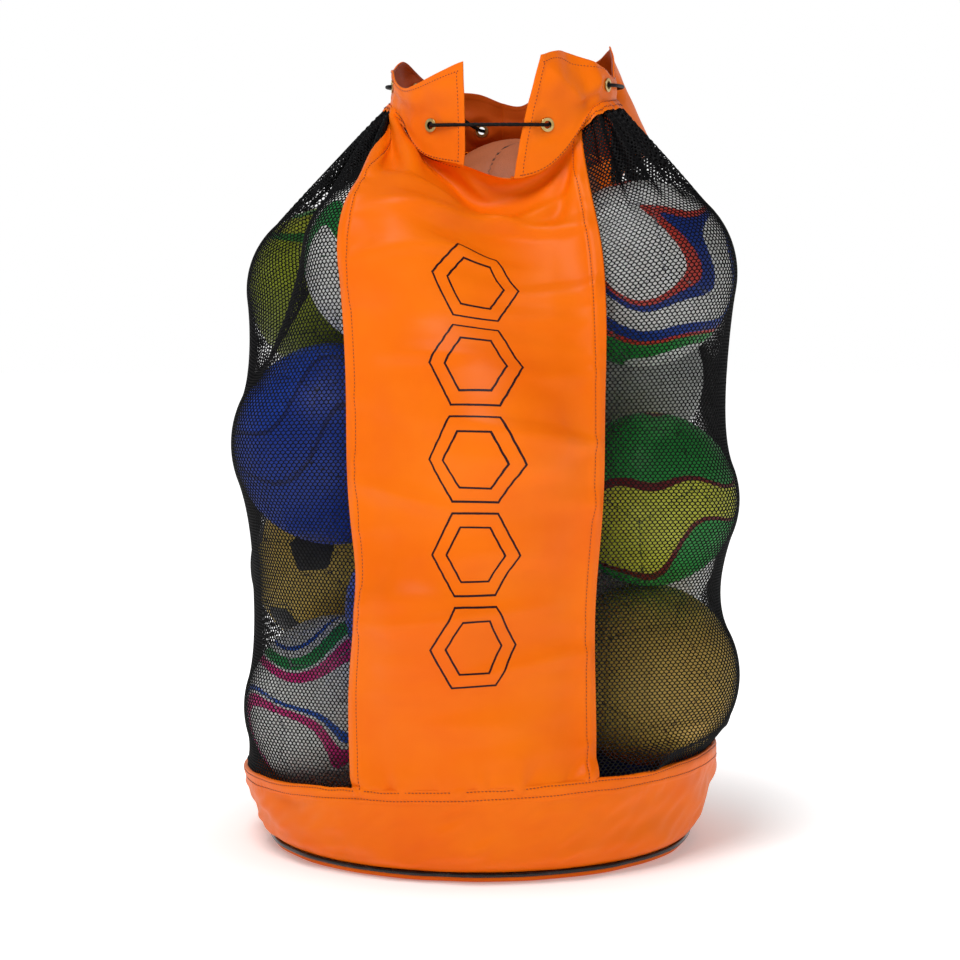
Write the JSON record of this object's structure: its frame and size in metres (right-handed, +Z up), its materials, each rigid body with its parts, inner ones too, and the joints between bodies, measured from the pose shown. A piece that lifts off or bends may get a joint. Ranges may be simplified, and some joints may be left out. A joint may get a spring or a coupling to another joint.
{
  "type": "mesh ball bag",
  "caption": "Tall round drawcord bag with mesh sides, coated fabric panels and base, an eyeletted collar, a cord lock and a back strap, standing filled with balls.",
  "frame": {"origin": "centre of the underside of the round base panel, on the floor", "axes": "+Z up, front of the bag with its plain panel towards -Y, strap on the back towards +Y"},
  "size_m": [0.605, 0.6126, 0.905],
  "materials": {
    "orange_nylon": "satin",
    "black_mesh": "matte",
    "black_piping": "gloss",
    "brass_eyelet": "polished",
    "black_cord": "matte",
    "black_plastic": "satin",
    "spring_steel": "satin",
    "black_webbing": "matte",
    "white_cover": "satin",
    "gold_cover": "satin",
    "blue_cover": "satin",
    "lime_cover": "satin",
    "white_green_cover": "satin",
    "grey_cover": "satin",
    "brown_cover": "matte"
  },
  "bodies": {
    "bag": {"base_panel": "orange_nylon", "base_band": "orange_nylon", "front_panel": "orange_nylon", "back_panel": "orange_nylon", "collar": "orange_nylon", "base_piping": "black_piping", "left_mesh": "black_mesh", "right_mesh": "black_mesh", "eyelet_1": "brass_eyelet", "eyelet_washer_1": "brass_eyelet", "eyelet_2": "brass_eyelet", "eyelet_washer_2": "brass_eyelet", "eyelet_3": "brass_eyelet", "eyelet_washer_3": "brass_eyelet", "eyelet_4": "brass_eyelet", "eyelet_washer_4": "brass_eyelet", "eyelet_5": "brass_eyelet", "eyelet_washer_5": "brass_eyelet", "eyelet_6": "brass_eyelet", "eyelet_washer_6": "brass_eyelet", "eyelet_7": "brass_eyelet", "eyelet_washer_7": "brass_eyelet", "eyelet_8": "brass_eyelet", "eyelet_washer_8": "brass_eyelet", "drawcord": "black_cord", "tail_left": "black_cord", "tail_right": "black_cord", "tail_knot_left": "black_cord", "tail_knot_right": "black_cord", "strap_webbing": "black_webbing", "strap_patch_top": "black_webbing", "strap_patch_bottom": "black_webbing", "ball_left_low": "white_cover", "ball_left_mid": "gold_cover", "ball_left_wide": "blue_cover", "ball_left_high": "lime_cover", "ball_left_shoulder": "white_green_cover", "ball_right_shoulder": "white_cover", "ball_right_high": "grey_cover", "ball_right_mid": "lime_cover", "ball_right_low": "gold_cover", "ball_mouth": "brown_cover", "ball_front_low": "grey_cover", "ball_front_mid": "blue_cover", "ball_front_high": "white_cover", "ball_back_low_left": "lime_cover", "ball_back_low_right": "blue_cover", "ball_back_mid": "white_cover", "ball_back_high": "gold_cover", "ball_back_right": "white_green_cover", "ball_core": "grey_cover"},
    "corner_left": {"collar_corner_left": "orange_nylon"},
    "corner_right": {"collar_corner_right": "orange_nylon"},
    "cord_lock": {"lock_barrel": "black_plastic", "lock_spring": "spring_steel"},
    "lock_button": {"lock_button": "black_plastic"},
    "strap_slider": {"strap_slider": "black_plastic"}
  },
  "joints": [
    {"name": "corner_left_fold", "type": "hinge", "parent": "bag", "child": "corner_left", "pos_m": [-0.0565, -0.09721, 0.871], "axis": [0.617, -0.5363, -0.576], "range_deg": [0, 75], "stiffness_Nm_per_rad": 0.02},
    {"name": "corner_right_fold", "type": "hinge", "parent": "bag", "child": "corner_right", "pos_m": [0.09434, -0.1104, 0.871], "axis": [0.7007, 0.421, 0.576], "range_deg": [0, 75], "stiffness_Nm_per_rad": 0.02},
    {"name": "cord_lock_slide", "type": "slide", "parent": "bag", "child": "cord_lock", "axis": [0.165, 0.9863, 0], "range_m": [0, 0.02]},
    {"name": "lock_button_press", "type": "slide", "parent": "cord_lock", "child": "lock_button", "axis": [0, 0, -1], "range_m": [0, 0.004], "stiffness_N_per_m": 800, "springref_m": -0.003, "deforming": ["lock_spring"]},
    {"name": "strap_slider_slide", "type": "slide", "parent": "bag", "child": "strap_slider", "axis": [0, 0, 1], "range_m": [-0.15, 0.1]}
  ]
}
